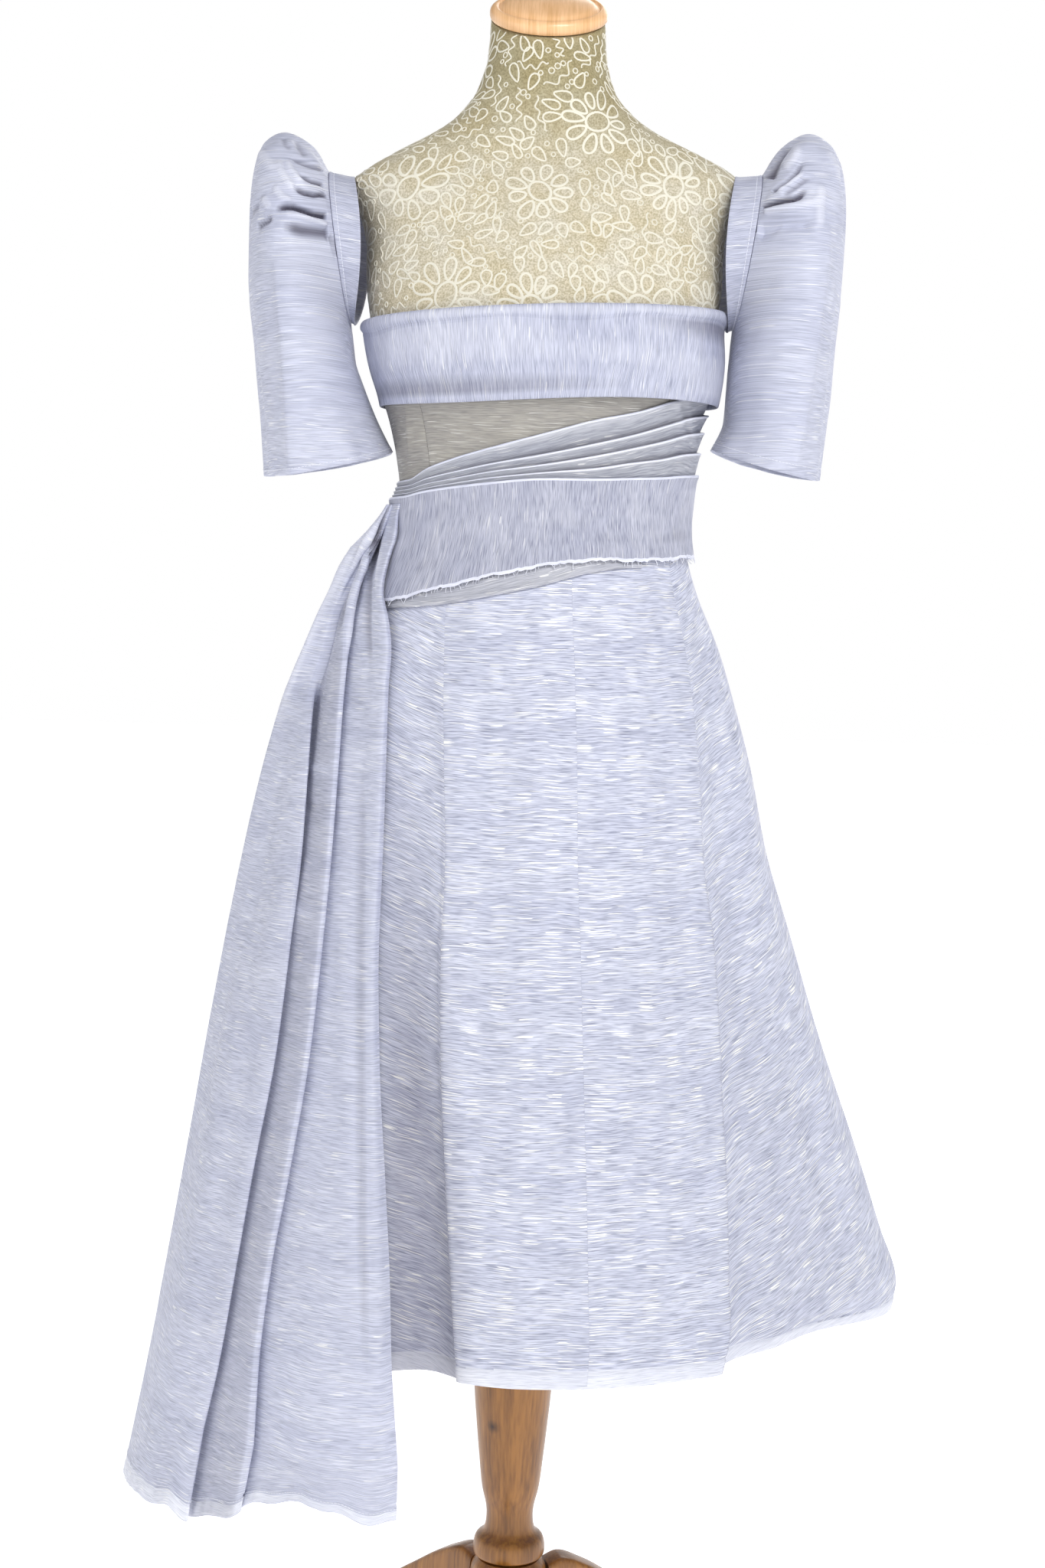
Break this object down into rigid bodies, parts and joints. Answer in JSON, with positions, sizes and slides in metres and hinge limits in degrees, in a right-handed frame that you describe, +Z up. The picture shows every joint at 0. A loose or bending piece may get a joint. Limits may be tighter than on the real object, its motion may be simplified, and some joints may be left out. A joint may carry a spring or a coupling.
{
  "type": "filipiniana dress on a limbless dress form",
  "caption": "White filipiniana dress with butterfly sleeves, folded band, pleated waist wrap and long hip sash, worn on a limbless dress form on a turned pole with a wooden tripod",
  "frame": {"origin": "on the floor, on the axis of the stand pole, at the centre of the base of the bounding box", "axes": "+Z up along the pole, -Y out of the front of the dress, +X to the right of the front view"},
  "size_m": [0.7296, 0.5881, 1.6571],
  "materials": {
    "form_cover": "cream cotton cover with a pale flower print",
    "cap_wood": "pale satin varnish",
    "stand_wood": "honey satin varnish",
    "dress_cloth": "white slubbed weave with fine silver threads, soft sheen",
    "band_cloth": "the same weave turned upright"
  },
  "bodies": {
    "root": {"form_torso": "form_cover", "neck_cap": "cap_wood", "stand_pole": "stand_wood", "stand_hub": "stand_wood", "stand_leg_1": "stand_wood", "stand_leg_2": "stand_wood", "stand_leg_3": "stand_wood", "bodice_front": "dress_cloth", "bodice_side_right": "dress_cloth", "bodice_back": "dress_cloth", "bodice_side_left": "dress_cloth", "waist_wrap": "dress_cloth", "wrap_under_layer": "dress_cloth", "skirt_front_centre_left": "dress_cloth", "skirt_front_centre_right": "dress_cloth", "skirt_side_right": "dress_cloth", "skirt_back_right": "dress_cloth", "skirt_back_left": "dress_cloth", "skirt_side_left": "dress_cloth", "sash_cascade": "dress_cloth", "sleeve_left": "dress_cloth", "sleeve_right": "dress_cloth", "top_band": "band_cloth", "wrap_lower_panel": "band_cloth", "sleeve_binding_left": "band_cloth", "sleeve_binding_right": "band_cloth"}
  },
  "joints": []
}
